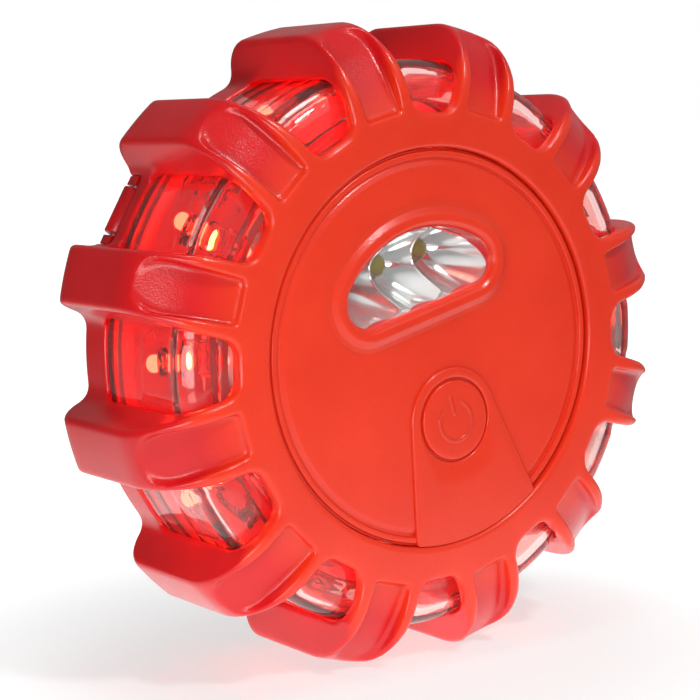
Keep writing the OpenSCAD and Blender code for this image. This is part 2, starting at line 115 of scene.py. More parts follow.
def ramp(nt, fac, stops):
    """stops: list of (position, RGB)."""
    node = nt.nodes.new("ShaderNodeValToRGB")
    els = node.color_ramp.elements
    while len(els) < len(stops):
        els.new(0.5)
    for e, (pos, col) in zip(els, stops):
        e.position = pos
        e.color = (*col, 1)
    nt.links.new(fac, node.inputs["Fac"])
    return node.outputs["Color"]


def map_range(nt, value, start, end, lo, hi, smooth=False):
    """Maps a socket's start..end to lo..hi."""
    node = nt.nodes.new("ShaderNodeMapRange")
    if smooth:
        node.interpolation_type = "SMOOTHSTEP"
    for key, number in (("From Min", start), ("From Max", end), ("To Min", lo), ("To Max", hi)):
        node.inputs[key].default_value = number
    nt.links.new(value, node.inputs["Value"])
    return node.outputs["Result"]


def spread(nt, fac, lo, hi):
    """Spreads the middle half of a noise over lo..hi."""
    return map_range(nt, fac, 0.25, 0.75, lo, hi)


def bump(nt, bsdf, layers):
    """layers: list of (height socket, distance in metres, strength)."""
    last = None
    for height, distance, strength in layers:
        node = nt.nodes.new("ShaderNodeBump")
        node.inputs["Distance"].default_value = distance
        node.inputs["Strength"].default_value = strength
        nt.links.new(height, node.inputs["Height"])
        if last:
            nt.links.new(last, node.inputs["Normal"])
        last = node.outputs["Normal"]
    nt.links.new(last, bsdf.inputs["Normal"])


def put(bsdf, **values):
    names = {"base": "Base Color", "rough": "Roughness", "metal": "Metallic", "ior": "IOR",
             "spec": "Specular IOR Level", "trans": "Transmission Weight", "sss": "Subsurface Weight",
             "sss_scale": "Subsurface Scale", "sss_radius": "Subsurface Radius",
             "emit": "Emission Strength", "emit_color": "Emission Color"}
    for k, v in values.items():
        bsdf.inputs[names[k]].default_value = v


def painted_light_by_depth(nt, painted_shade_deep, front):
    """Mixes two colour sockets: a darker painted shade on the recessed surfaces, going to a lighter painted
    light on the ones at the very front.
    """
    coord = nt.nodes.new("ShaderNodeTexCoord")
    split = nt.nodes.new("ShaderNodeSeparateXYZ")
    nt.links.new(coord.outputs["Object"], split.inputs["Vector"])
    mix = nt.nodes.new("ShaderNodeMix")
    mix.data_type = "RGBA"
    depth = map_range(nt, split.outputs["Y"], front_y + 0.0035, front_y + 0.0008, 0, 1, smooth=True)
    nt.links.new(depth, mix.inputs["Factor"])
    nt.links.new(painted_shade_deep, mix.inputs[6])
    nt.links.new(front, mix.inputs[7])
    return mix.outputs[2]


def rubber_red(name, grain=1.0, sss=0.3):
    m, nt, b = new_material(name)
    patch = noise(nt, 45, 3, 0.55)
    fine = noise(nt, 700, 2, 0.6)
    # Painted light and shade: recessed rubber gets a darker crimson and the very front a lighter orange, as lit
    # and shaded copies of one red.
    painted_shade_deep = ramp(nt, patch, [(0.3, (0.60, 0.007, 0.010)), (0.7, (0.70, 0.010, 0.013))])
    front = ramp(nt, patch, [(0.3, (0.74, 0.030, 0.008)), (0.7, (0.82, 0.042, 0.012))])
    nt.links.new(painted_light_by_depth(nt, painted_shade_deep, front), b.inputs["Base Color"])
    nt.links.new(spread(nt, fine, 0.17, 0.27), b.inputs["Roughness"])
    put(b, sss=sss, sss_scale=0.003, sss_radius=(1.0, 0.10, 0.06), ior=1.48)
    bump(nt, b, [(noise(nt, 120, 2), 0.0004, 0.08), (noise(nt, 3600, 1.0), 0.00006, 0.55 * grain)])
    return m


boot_red = rubber_red("boot_red")
shell_red = rubber_red("shell_red", 0.7, 0.2)


def clear_plastic(name, base, rough, shade=None, trans=1.0):
    """shade is the tint of the light that lamps send through it."""
    m, nt, b = new_material(name)
    put(b, base=(*base, 1), trans=trans, ior=1.49)
    nt.links.new(spread(nt, noise(nt, 260, 3), rough * 0.7, rough * 1.3), b.inputs["Roughness"])
    bump(nt, b, [(noise(nt, 90, 2), 0.0003, 0.05), (noise(nt, 900, 2), 0.00002, 0.05)])
    path = nt.nodes.new("ShaderNodeLightPath")
    clear = nt.nodes.new("ShaderNodeBsdfTransparent")
    clear.inputs["Color"].default_value = (*(shade or base), 1)
    mix = nt.nodes.new("ShaderNodeMixShader")
    out = nt.nodes["Material Output"]
    nt.links.new(path.outputs["Is Shadow Ray"], mix.inputs[0])
    nt.links.new(b.outputs[0], mix.inputs[1])
    nt.links.new(clear.outputs[0], mix.inputs[2])
    nt.links.new(mix.outputs[0], out.inputs["Surface"])
    return m


lens_clear = clear_plastic("lens_clear", (1.0, 0.66, 0.63), 0.03, (0.30, 0.02, 0.015), 0.975)
window_clear = clear_plastic("window_clear", (1.0, 1.0, 1.0), 0.008)


def metal(name, lo, hi, rough, scale=300, amount=1.0):
    m, nt, b = new_material(name)
    grain = noise(nt, scale, 3, 0.6)
    nt.links.new(ramp(nt, grain, [(0.3, lo), (0.7, hi)]), b.inputs["Base Color"])
    nt.links.new(spread(nt, grain, rough * 0.8, rough * 1.25), b.inputs["Roughness"])
    put(b, metal=amount)
    bump(nt, b, [(grain, 0.00003, 0.2)])
    return m


mirror = metal("mirror_chrome", (0.84, 0.86, 0.85), (0.93, 0.94, 0.93), 0.125, 60, 0.86)
steel = metal("plated_steel", (0.50, 0.50, 0.50), (0.68, 0.67, 0.65), 0.28)
nickel = metal("nickel_plate", (0.62, 0.61, 0.58), (0.74, 0.73, 0.70), 0.2)


def plastic(name, lo, hi, rough=0.45, scale=500):
    m, nt, b = new_material(name)
    grain = noise(nt, scale, 3, 0.6)
    nt.links.new(ramp(nt, grain, [(0.3, lo), (0.7, hi)]), b.inputs["Base Color"])
    nt.links.new(spread(nt, grain, rough * 0.85, rough * 1.2), b.inputs["Roughness"])
    bump(nt, b, [(grain, 0.00004, 0.25)])
    return m


black = plastic("black_housing", (0.015, 0.015, 0.015), (0.035, 0.035, 0.035))
seal = plastic("seal_rubber", (0.012, 0.012, 0.013), (0.03, 0.03, 0.03), 0.6, 900)
board_white = plastic("board_mask", (0.55, 0.56, 0.54), (0.66, 0.67, 0.65), 0.35, 200)
jacket = plastic("cell_jacket", (0.52, 0.33, 0.06), (0.62, 0.42, 0.10), 0.3, 250)


def led_glow(name, base, glow, strength):
    m, nt, b = new_material(name)
    grain = noise(nt, 400, 2)
    nt.links.new(ramp(nt, grain, [(0.3, tuple(c * 0.85 for c in base)), (0.7, base)]), b.inputs["Base Color"])
    put(b, rough=0.2, emit=strength, emit_color=(*glow, 1))
    return m


phosphor = led_glow("phosphor", (0.50, 0.42, 0.06), (1.0, 0.8, 0.2), 0.02)
epoxy_clear = clear_plastic("epoxy_clear", (1.0, 0.98, 0.85), 0.02)
epoxy_red = clear_plastic("epoxy_red", (1.0, 0.12, 0.08), 0.05)
red_die = led_glow("red_die", (1.0, 0.7, 0.3), (1.0, 0.62, 0.16), 40.0)
red_halo = led_glow("red_halo", (1.0, 0.2, 0.03), (1.0, 0.13, 0.006), 3.0)


# ---------------------------------------------------------------- mesh helpers
def add_piece(name, verts, faces, material, body="housing", sharp=None):
    """verts in local millimetres; edges above sharp degrees stay sharp."""
    mesh = bpy.data.meshes.new(name)
    mesh.from_pydata([tuple(v) for v in world_co(verts)], [], [tuple(int(i) for i in f) for f in faces])
    mesh.validate()
    obj = bpy.data.objects.new(name, mesh)
    bpy.context.scene.collection.objects.link(obj)
    bm = bmesh.new()
    bm.from_mesh(mesh)
    bmesh.ops.remove_doubles(bm, verts=bm.verts, dist=1e-7)
    bmesh.ops.recalc_face_normals(bm, faces=bm.faces)
    bm.to_mesh(mesh)
    bm.free()
    mesh.shade_smooth()
    if sharp:
        mesh.set_sharp_from_angle(angle=math.radians(sharp))
    mesh.materials.append(material)
    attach(obj, body)
    return obj


def turn(p, angle):
    """Turns local points about the axis, counter-clockwise seen from the front."""
    p = np.asarray(p, float)
    c, s = math.cos(angle), math.sin(angle)
    return np.stack([c * p[:, 0] - s * p[:, 1], s * p[:, 0] + c * p[:, 1], p[:, 2]], axis=1)


def bridge(rings, count):
    """Quads between rings of the same number of points, stacked in one vertex list."""
    faces = []
    for j in range(rings - 1):
        for i in range(count):
            n = (i + 1) % count
            faces.append((j * count + i, j * count + n, (j + 1) * count + n, (j + 1) * count + i))
    return faces


def closing(rings, count):
    """Quads that join the first of those rings to the last."""
    last = (rings - 1) * count
    return [(i, (i + 1) % count, last + (i + 1) % count, last + i) for i in range(count)]


def shifted(faces, by):
    return [tuple(i + by for i in f) for f in faces]


def rounded(points, radii, steps=4):
    """A profile with its inner corners rounded."""
    out = [points[0]]
    for k in range(1, len(points) - 1):
        p, q, n = (np.array(points[i], float) for i in (k - 1, k, k + 1))
        r = radii[k] if isinstance(radii, (list, tuple)) else radii
        a, b = (p - q), (n - q)
        la, lb = np.linalg.norm(a), np.linalg.norm(b)
        if r <= 0 or la < 1e-9 or lb < 1e-9:
            out.append(tuple(q))
            continue
        a, b = a / la, b / lb
        half = math.acos(max(-1, min(1, float(a @ b)))) / 2
        cut = min(r / max(math.tan(half), 1e-6), la * 0.48, lb * 0.48)
        s, e = q + a * cut, q + b * cut
        for i in range(steps + 1):
            t = i / steps
            out.append(tuple((1 - t) ** 2 * s + 2 * t * (1 - t) * q + t * t * e))
    out.append(points[-1])
    return out


def lathe(profile, count=192, closed=False):
    """Revolves (r, z) points about the axis."""
    a = np.arange(count) * 2 * math.pi / count
    verts = []
    for r, z in profile:
        verts += [(r * math.sin(t), r * math.cos(t), z) for t in a]
    faces = bridge(len(profile), count)
    last = (len(profile) - 1) * count
    if closed:
        for i in range(count):
            n = (i + 1) % count
            faces.append((last + i, last + n, n, i))
    else:
        faces.append(tuple(range(count)))
        faces.append(tuple(range(last, last + count)))
    return verts, faces


def loft(outlines, capped=False):
    """Bridges closed outlines of equal length, each an (n, 3) array; capped, or closed on itself."""
    rings, n = len(outlines), len(outlines[0])
    faces = bridge(rings, n)
    if capped:
        faces += [tuple(range(n)), tuple(range((rings - 1) * n, rings * n))]
    else:
        faces += closing(rings, n)
    return np.concatenate(outlines), faces


# ---------------------------------------------------------------- boot
def ease(t):
    """Smooth step from 0 to 1."""
    t = np.clip(t, 0, 1)
    return t * t * (3 - 2 * t)


def smax(a, b, k):
    """Larger of two distances, blended over a width k."""
    h = np.clip(0.5 + 0.5 * (a - b) / k, 0, 1)
    return b + (a - b) * h + k * h * (1 - h)


def corner(q1, q2, r):
    """Distance to a corner rounded by r, from the two offset plane distances."""
    return np.hypot(np.maximum(q1, 0), np.maximum(q2, 0)) + np.minimum(np.maximum(q1, q2), 0) - r


def boot_field(clock, r, z):
    """Signed distance, in mm, to the soft boot: negative inside the rubber."""
    t = np.mod(clock, SECTOR) - HALF
    x, y = r * np.sin(t), r * np.cos(t)
    w = HALF - np.abs(t)
    xw, yw = r * np.sin(w), r * np.cos(w)
    f = np.maximum(corner(r - 42.3, z - 21.5, 13), corner(r - 50.3, 5 - z, 5))
    # Room for the lens, its foot and the back cover; the lens is lower behind the lobes
    drop = 0.9 * ease((math.radians(7.0) - np.abs(t)) / math.radians(1.8))
    lens = np.maximum(corner(r - 43.3, z - 27.0 + drop, 4.7), 7.3 - z)
    foot = np.maximum(np.maximum(r - 46.4, 1.5 - z), z - 10)
    cover = np.maximum(r - 44.6, z - 3)
    f = np.maximum(f, -np.minimum(np.minimum(lens, foot), cover))
    f = smax(f, 33.5 - r, 0.8)
    # Windows
    half = 5.0 + 0.30 * (yw - 42.2) + 0.12 * np.maximum(yw - 47.5, 0)
    win = corner(np.abs(xw) - (half - 2.2), 41.4 - yw, 2.2)
    win = smax(win, np.minimum(7.3 - z, 48.3 - r), 2.6)
    f = smax(f, -win, 1.0)
    # Scoops
    hs = 3.65 + 0.05 * (y - 40)
    zc = 25.3 + hs
    slot_d = np.where(z < zc, np.hypot(x, zc - z) - hs, np.abs(x) - hs)
    slot_d = smax(slot_d, 39.8 - y, 1.1)
    low = (y - 39.8) * 0.282 + (z - 33.4) * 0.9594
    high = (y - 48.3) * 0.651 + (z - 30.9) * 0.759
    floor = smax(low, high, 2.2)
    scoop = smax(slot_d, -floor, 0.8)
    f = smax(f, -scoop, 0.6)
    # Notch for the hinge of the hook
    xh = r * np.sin(clock - HOOK)
    yh = r * np.cos(clock - HOOK)
    notch = np.maximum(np.maximum(np.abs(xh) - 6.4, z - 3.95), 43 - yh)
    return smax(f, -notch, 0.5)


def net(field, clock, rs, zs):
    """Closed quad mesh of field = 0 on a grid that wraps round the axis."""
    nt, nr, nz = len(clock), len(rs), len(zs)
    A, R, Z = np.meshgrid(clock, rs, zs, indexing="ij")
    f = field(A, R, Z)
    f1 = np.concatenate([f, f[:1]], axis=0)
    inside = f1 < 0
    total = np.zeros((nt, nr - 1, nz - 1, 3))
    count = np.zeros((nt, nr - 1, nz - 1))
    clock1 = np.append(clock, clock[0] + 2 * math.pi)
    grids = np.meshgrid(clock1, rs, zs, indexing="ij")
    for axis in range(3):
        lo = [slice(None)] * 3
        hi = [slice(None)] * 3
        lo[axis], hi[axis] = slice(None, -1), slice(1, None)
        lo, hi = tuple(lo), tuple(hi)
        fa, fb = f1[lo], f1[hi]
        cross = inside[lo] != inside[hi]
        t = np.where(cross, fa / np.where(cross, fa - fb, 1), 0)
        pts = [g[lo] + (g[hi] - g[lo]) * t for g in grids]
        others = [a for a in range(3) if a != axis]
        for d1 in (0, 1):
            for d2 in (0, 1):
                pick = [slice(None)] * 3
                size = {others[0]: d1, others[1]: d2}
                for a in others:
                    n = (nt, nr - 1, nz - 1)[a]
                    pick[a] = slice(size[a], size[a] + n)
                pick = tuple(pick)
                c = cross[pick]
                count += c
                for k in range(3):
                    total[..., k] += np.where(c, pts[k][pick], 0)
    used = count > 0
    ids = np.full(used.shape, -1)
    ids[used] = np.arange(used.sum())
    p = total[used] / count[used][:, None]
    ins = inside[:-1]
    quads = []
    # edges along the clock direction
    c = (inside[:-1] != inside[1:])[:, 1:-1, 1:-1]
    i, j, k = np.nonzero(c)
    j, k = j + 1, k + 1
    q = np.stack([ids[i, j - 1, k - 1], ids[i, j, k - 1], ids[i, j, k], ids[i, j - 1, k]], 1)
    quads.append(np.where(ins[i, j, k][:, None], q, q[:, ::-1]))
    # edges along r
    c = (ins[:, :-1] != ins[:, 1:])[:, :, 1:-1]
    i, j, k = np.nonzero(c)
    k = k + 1
    b = (i - 1) % nt
    q = np.stack([ids[b, j, k - 1], ids[b, j, k], ids[i, j, k], ids[i, j, k - 1]], 1)
    quads.append(np.where(ins[i, j, k][:, None], q, q[:, ::-1]))
    # edges along z
    c = (ins[:, :, :-1] != ins[:, :, 1:])[:, 1:-1, :]
    i, j, k = np.nonzero(c)
    j = j + 1
    b = (i - 1) % nt
    q = np.stack([ids[b, j - 1, k], ids[i, j - 1, k], ids[i, j, k], ids[b, j, k]], 1)
    quads.append(np.where(ins[i, j, k][:, None], q, q[:, ::-1]))
    quads = np.concatenate(quads)
    xyz = np.stack([p[:, 1] * np.sin(p[:, 0]), p[:, 1] * np.cos(p[:, 0]), p[:, 2]], 1)

    def at(q):
        return field(np.arctan2(q[:, 0], q[:, 1]), np.hypot(q[:, 0], q[:, 1]), q[:, 2])

    for _ in range(3):
        v = at(xyz)
        g = np.stack([at(xyz + d) - at(xyz - d) for d in np.eye(3) * 0.02], 1) / 0.04
        move = v[:, None] * g / np.maximum((g * g).sum(1), 0.2)[:, None]
        length = np.linalg.norm(move, axis=1)[:, None]
        xyz = xyz - move * np.minimum(1, 0.2 / np.maximum(length, 1e-9))
    return xyz, quads


def make_boot():
    lobe = np.radians(np.arange(-8.65, 8.7, 0.52))
    gap = np.radians(np.arange(9.4, 20.8, 0.95))
    one = np.concatenate([lobe, gap]) + HALF
    clock = np.sort(np.concatenate([one + SECTOR * k for k in range(LOBES)]) % (2 * math.pi))
    # Grid planes: fine where the scoops and window corners are, coarse between
    rs = np.concatenate([[32.7, 33.25, 33.7, 34.2, 35.1, 36.2, 37.2, 38.1, 38.6],
                         np.arange(39.05, 56.6, 0.46)])
    zs = np.concatenate([np.arange(-0.55, 2.6, 0.42),
                         [3.1, 3.7, 4.2, 4.9, 5.6, 6.3, 6.9, 7.3, 7.8, 8.5, 9.3],
                         np.arange(10.3, 23.5, 1.25), np.arange(23.87, 35.2, 0.46)])
    xyz, quads = net(boot_field, clock, rs, zs)
    obj = add_piece("boot_skin", xyz, quads, boot_red)
    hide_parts("bumper_boot")


make_boot()


# ---------------------------------------------------------------- face
def d_radius(arch, base, half):
    """Corner radius that joins an arch, a flat base and sides at +-half into one smooth half moon."""
    b = 2 * (arch + base - half)
    c = half * half + base * base - arch * arch
    return (-b + math.sqrt(b * b - 4 * c)) / 2


def d_outline(grow, z, arch=20.35, base=7.6, half=15.2, per=28):
    """Half-moon outline grown outwards by grow, always with the same number of points."""
    r0 = d_radius(arch, base, half)
    cx, cy = half - r0, base + r0
    r, big = r0 + grow, arch + grow
    a = math.atan2(cy, cx)
    pts = []
    for t in np.linspace(-math.pi / 2, a, per, endpoint=False):
        pts.append((cx + r * math.cos(t), cy + r * math.sin(t)))
    for t in np.linspace(a, math.pi - a, 2 * per, endpoint=False):
        pts.append((big * math.cos(t), big * math.sin(t)))
    for t in np.linspace(math.pi - a, 1.5 * math.pi, per, endpoint=False):
        pts.append((-cx + r * math.cos(t), cy + r * math.sin(t)))
    for t in np.linspace(-cx, cx, per, endpoint=False):
        pts.append((t, cy - r))
    return np.array([(x, y, z) for x, y in pts])


def make_disc():
    """The disc of the front panel with its bead and grooves, down to the lamp frame."""
    count = 384
    rim = rounded([(33.35, 30.6), (33.35, 33.25), (33.0, 33.3), (32.85, 33.75), (31.95, 33.75), (31.8, 33.2),
                   (31.45, 33.2), (31.2, 33.35), (30.5, DISC_Z), (29.6, DISC_Z)],
                  [0, 0.15, 0.15, 0.25, 0.25, 0.1, 0.1, 0.2, 0.4, 0], 3)
    a = np.arange(count) * 2 * math.pi / count
    outlines = [np.stack([r * np.cos(a), r * np.sin(a), np.full(count, z)], 1) for r, z in rim]
    inner = d_outline(2.0, DISC_Z, per=count // 5 + 1)
    # as seen from the middle of the half moon, one inner point for each direction of the outer ring
    mid = np.array([0, 13.5])
    ang = np.unwrap(np.arctan2(inner[:, 1] - mid[1], inner[:, 0] - mid[0]))
    order = np.argsort(np.mod(ang, 2 * math.pi))
    ang, dist = np.mod(ang, 2 * math.pi)[order], np.hypot(*(inner[:, :2] - mid).T)[order]
    edge = outlines[-1]
    e_ang = np.mod(np.arctan2(edge[:, 1] - mid[1], edge[:, 0] - mid[0]), 2 * math.pi)
    d = np.interp(e_ang, ang, dist, period=2 * math.pi)
    hole = np.stack([mid[0] + d * np.cos(e_ang), mid[1] + d * np.sin(e_ang), np.full(count, DISC_Z)], 1)
    for t in (0.25, 0.5, 0.75):
        outlines.append(edge + (hole - edge) * t)
    outlines.append(hole)
    outlines.append(hole - [0, 0, 1.9])
    verts, faces = loft(outlines)
    obj = add_piece("panel_disc", turn(verts, FACE_TURN), faces, shell_red, sharp=40)
    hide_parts("front_panel")


def make_frame():
    """Broad rounded frame round the lamp, with the bevelled edge of the opening."""
    profile = rounded([(0.9, 28.5), (0.0, 28.5), (0.0, 33.2), (0.30, 33.45), (0.42, 33.95),
                       (1.0, 34.4), (2.2, 34.42), (3.3, 33.72), (4.6, 33.56)],
                      [0, 0, 0.1, 0.1, 0.35, 0.5, 0.8, 0.5, 0], 4)
    outlines = [d_outline(g, z, per=48) for g, z in profile]
    outlines.append(d_outline(3.2, 32.6, per=48))
    outlines.append(d_outline(0.9, 32.2, per=48))
    verts, faces = loft(outlines)
    add_piece("lamp_frame", turn(verts, FACE_TURN), faces, shell_red, sharp=60)


def petal_outline(grow, z, count=360):
    """Round top, two flared sides and an arc at the rim of the panel, seen from the button's centre."""
    r, flare = 9.0 + grow, math.radians(12.9)
    nx, ny = math.cos(flare), math.sin(flare)
    limit = 33.4
    pts = []
    for k in range(count):
        t = 2 * math.pi * k / count
        dx, dy = math.cos(t), math.sin(t)
        b = BUTTON_Y * dy
        d_rim = -b + math.sqrt(b * b - BUTTON_Y ** 2 + limit * limit)
        to_side = abs(dx) * nx + dy * ny
        if dy >= ny:
            d = min(r, d_rim)
        else:
            d = min(r / to_side, d_rim) if to_side > 1e-6 else d_rim
        pts.append((dx * d, BUTTON_Y + dy * d, z))
    return np.array(pts)


def circle_outline(r, z, count=360):
    t = np.arange(count) * 2 * math.pi / count
    return np.stack([r * np.cos(t), BUTTON_Y + r * np.sin(t), np.full(count, z)], 1)


def make_petal():
    outlines = [circle_outline(7.15, 32.7), circle_outline(7.15, 33.85), circle_outline(7.25, 34.05),
                circle_outline(7.45, 34.15)]
    top = petal_outline(-0.45, 34.18)
    ring = circle_outline(7.45, 34.18)
    for t in (0.3, 0.65):
        outlines.append(ring + (top - ring) * t)
    outlines += [top, petal_outline(-0.25, 34.14), petal_outline(-0.08, 34.0), petal_outline(0.0, 33.8),
                 petal_outline(0.05, 33.2), petal_outline(-0.4, 32.7)]
    verts, faces = loft(outlines)
    obj = add_piece("button_petal", turn(verts, FACE_TURN), faces, shell_red, sharp=50)
    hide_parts("button_surround")


def soft_end(k, last, length):
    """Relative thickness at point k of a bar with rounded ends."""
    near = max(0, 1 - min(k, last - k) / length)
    return min(1.0, math.sqrt(max(0.0, 1 - near ** 2)) + 0.02)


def make_button():
    profile = rounded([(0.001, 34.3), (5.6, 34.3), (6.75, 34.3), (6.75, 31.1), (7.7, 31.1),
                       (7.7, 30.6), (2.0, 30.6), (2.0, 30.05), (0.001, 30.05)],
                      [0, 0, 0.35, 0, 0, 0, 0, 0, 0], 4)
    verts, faces = lathe(profile, 96)
    verts = np.array(verts) + [0, BUTTON_Y, 0]
    obj = add_piece("button_cap", turn(verts, FACE_TURN), faces, shell_red, "button", sharp=50)
    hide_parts("power_button")


def make_power_sign():
    """Broken ring and bar, slightly raised from the button cap."""
    ring_r, wide, high, sign_z = 3.35, 0.42, 0.21, 34.28
    gap = 64
    round_section = [2 * math.pi * s / 12 for s in range(12)]
    ring, bar = [], []
    for k in range(73):
        t = math.radians(90 + gap / 2 + (360 - gap) * k / 72)
        e = soft_end(k, 72, 2.5)
        section = []
        for u in round_section:
            r = ring_r + wide * e * math.cos(u)
            section.append((r * math.cos(t), BUTTON_Y - 0.3 + r * math.sin(t), sign_z + high * e * math.sin(u)))
        ring.append(np.array(section))
    for k in range(13):
        e = soft_end(k, 12, 1.5)
        y = BUTTON_Y + 0.6 + 3.9 * k / 12
        bar.append(np.array([(wide * e * math.cos(u), y, sign_z + high * e * math.sin(u))
                             for u in round_section]))
    v1, f1 = loft(ring, capped=True)
    v2, f2 = loft(bar, capped=True)
    verts = np.concatenate([v1, v2])
    add_piece("power_sign", turn(verts, FACE_TURN), f1 + shifted(f2, len(v1)), shell_red, "button")


make_disc()
make_frame()
make_petal()
make_button()
make_power_sign()


# ---------------------------------------------------------------- lamp
def make_reflector():
    """Three mirror cups that meet in sharp scalloped edges."""
    top, floor_z = 31.9, 21.6
    wide, low_r, hole_r = 7.2, 1.8, 1.75           # cup radius at the top, at the floor, and its hole
    half, arch, base = 15.2 + 0.35, 20.35 + 0.35, 7.6 - 0.35
    r0 = d_radius(arch, base, half)
    cx, cy = half - r0, base + r0
    a = math.atan2(cy, cx)

    def span(x):
        """Lowest and highest y of the half moon at x."""
        x = abs(x)
        at_corner = math.sqrt(max(r0 * r0 - (x - cx) ** 2, 0))
        lo = base if x <= cx else cy - at_corner
        hi = math.sqrt(arch * arch - x * x) if x <= arch * math.cos(a) else cy + at_corner
        return lo, hi

    xs = []
    for a0, a1 in zip([-half, -PITCH / 2, PITCH / 2], [-PITCH / 2, PITCH / 2, half]):
        n = 56
        xs += [a0 + (a1 - a0) * (0.5 - 0.5 * math.cos(math.pi * i / n)) for i in range(n)]
    xs.append(half)
    rows = 72
    pts = []
    for x in xs:
        lo, hi = span(x)
        for j in range(rows):
            y = lo + (hi - lo) * (0.5 - 0.5 * math.cos(math.pi * j / (rows - 1)))
            d2 = min((x - k * PITCH) ** 2 + (y - LED_Y) ** 2 for k in (-1, 0, 1))
            z = floor_z + (top - floor_z) * (d2 - low_r ** 2) / (wide ** 2 - low_r ** 2)
            pts.append((x, y, max(min(z, top), floor_z - 0.4)))
    hole = [min(math.hypot(x - k * PITCH, y - LED_Y) for k in (-1, 0, 1)) < hole_r for x, y, _ in pts]
    faces = []
    for i in range(len(xs) - 1):
        for j in range(rows - 1):
            quad = (i * rows + j, (i + 1) * rows + j, (i + 1) * rows + j + 1, i * rows + j + 1)
            if not all(hole[q] for q in quad):
                faces.append(quad)
    verts = turn(np.array(pts), FACE_TURN)
    obj = add_piece("reflector_cups", verts, faces, mirror, sharp=22)
    shell = obj.modifiers.new("shell", "SOLIDIFY")
    shell.thickness = 0.0005
    shell.offset = 0.0
    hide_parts("lamp_reflector")


def dome(r, length, base, flange):
    """Profile of an LED: flange, barrel and dome, as (r, z) from its foot."""
    pts = [(0.001, base), (r + flange, base), (r + flange, base + 0.9), (r, base + 0.9), (r, base + length)]
    pts += [(r * math.cos(t), base + length + r * math.sin(t)) for t in np.linspace(0, math.pi / 2, 8)[1:-1]]
    pts.append((0.001, base + length + r))
    return pts


def make_white_leds():
    def three(profile, count):
        verts, faces = [], []
        for k in (-1, 0, 1):
            v, f = lathe(profile, count)
            faces += shifted(f, len(verts))
            verts += [(x + k * PITCH, y + LED_Y, z) for x, y, z in v]
        return turn(np.array(verts), FACE_TURN), faces

    verts, faces = three(dome(1.5, 2.1, 19.15, 0.25), 40)
    obj = add_piece("white_led_domes", verts, faces, epoxy_clear, sharp=40)
    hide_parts("white_leds")
    cup = rounded([(0.001, 20.3), (0.7, 20.3), (1.25, 21.2), (1.15, 21.4), (0.8, 21.3), (0.001, 21.35)], 0.1, 2)
    verts, faces = three(cup, 24)
    add_piece("white_led_dies", verts, faces, phosphor, sharp=40)


make_reflector()
make_white_leds()


# ---------------------------------------------------------------- ring lens and red LEDs
def make_lens():
    """Clear ring with a raised pad in each window of the boot."""
    count = 720
    quarter = np.linspace(0, math.pi / 2, 18)[1:]
    outer = [(r, 31.6) for r in np.linspace(38.8, 43.3, 12)]
    outer += [(43.3 + 4.6 * math.sin(t), 27.0 + 4.6 * math.cos(t)) for t in quarter]
    outer += [(47.9, z) for z in np.linspace(27.0, 7.6, 40)[1:]]
    inner = [(46.3, 7.6), (46.3, 4.1), (44.6, 4.1), (44.6, 8.8), (45.8, 9.2)]
    for z in (11.6, 16.4, 21.2):                   # three shallow grooves
        inner += [(45.8, z - 0.6), (45.77, z - 0.1), (45.77, z + 0.1), (45.8, z + 0.6)]
    for z in np.arange(23.6, 26.8, 0.4):           # and a band of fine ribs
        inner += [(45.8, z), (45.77, z + 0.2)]
    inner += [(45.8, 27.0)]
    quarter = np.linspace(0, math.pi / 2, 8)[1:]
    inner += [(43.3 + 2.5 * math.cos(t), 27.0 + 2.5 * math.sin(t)) for t in quarter]
    inner += [(41.1, 29.5), (41.1, 27.5), (33.7, 27.5), (33.7, 29.3), (38.8, 29.3)]
    verts, faces = lathe(outer + inner, count, closed=True)
    verts = np.array(verts).reshape(-1, count, 3)
    # Along the outer normal, the pads are raised and the ring is lower behind the lobes
    prof = np.array(outer)
    tang = np.gradient(prof, axis=0)
    norm = np.stack([-tang[:, 1], tang[:, 0]], 1) / np.hypot(*tang.T)[:, None]
    along = np.concatenate([[0], np.cumsum(np.hypot(*np.diff(prof, axis=0).T))])
    clock = np.arange(count) * 2 * math.pi / count
    off = np.abs(np.mod(clock + HALF, SECTOR) - HALF)
    behind = ease((off - math.radians(8.0)) / math.radians(1.6))
    for j, (r, _) in enumerate(prof):
        half = 4.05 + 0.30 * (r - 42.2)
        inside = np.minimum(half - off * r, min(along[j] - 2.6, 20.5 - along[j]))
        front = ease((along[j] - 0.3) / 1.5) * ease((14 - along[j]) / 3)
        lift = 0.22 * ease(inside / 1.5) - 0.9 * behind * front
        nr, nz = norm[j] if norm[j].sum() > 0 else -norm[j]
        verts[j, :, 0] += lift * nr * np.sin(clock)
        verts[j, :, 1] += lift * nr * np.cos(clock)
        verts[j, :, 2] += lift * nz
    obj = add_piece("lens_ring", verts.reshape(-1, 3), faces, lens_clear, sharp=50)
    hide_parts("ring_lens")


def ring_of(profile, count):
    """A lathe profile set up in every window, pointing out from the board."""
    verts, faces = np.zeros((0, 3)), []
    for k in range(LOBES):
        v, f = lathe(profile, count)
        faces += shifted(f, len(verts))
        side, up, out = np.array(v).T
        c, s = math.cos(k * SECTOR), math.sin(k * SECTOR)
        r = LED_FOOT + out
        verts = np.concatenate([verts, np.stack([r * s + side * c, r * c - side * s, BOARD_Z + up], 1)])
    return verts, faces


def make_red_leds():
    verts, faces = ring_of(dome(2.5, 5.8, 0, 0.4), 32)
    obj = add_piece("red_led_domes", verts, faces, epoxy_red, sharp=40)
    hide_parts("red_leds")
    verts, faces = ring_of([(0.001, 4.2), (0.7, 4.2), (0.9, 4.6), (0.7, 5.0), (0.001, 5.1)], 16)
    add_piece("red_led_dies", verts, faces, red_die)
    verts, faces = ring_of([(0.001, 3.0), (0.5, 3.0), (1.05, 3.9), (1.1, 4.1), (0.001, 4.12)], 20)
    add_piece("red_led_cups", verts, faces, red_halo, sharp=40)


make_lens()
make_red_leds()


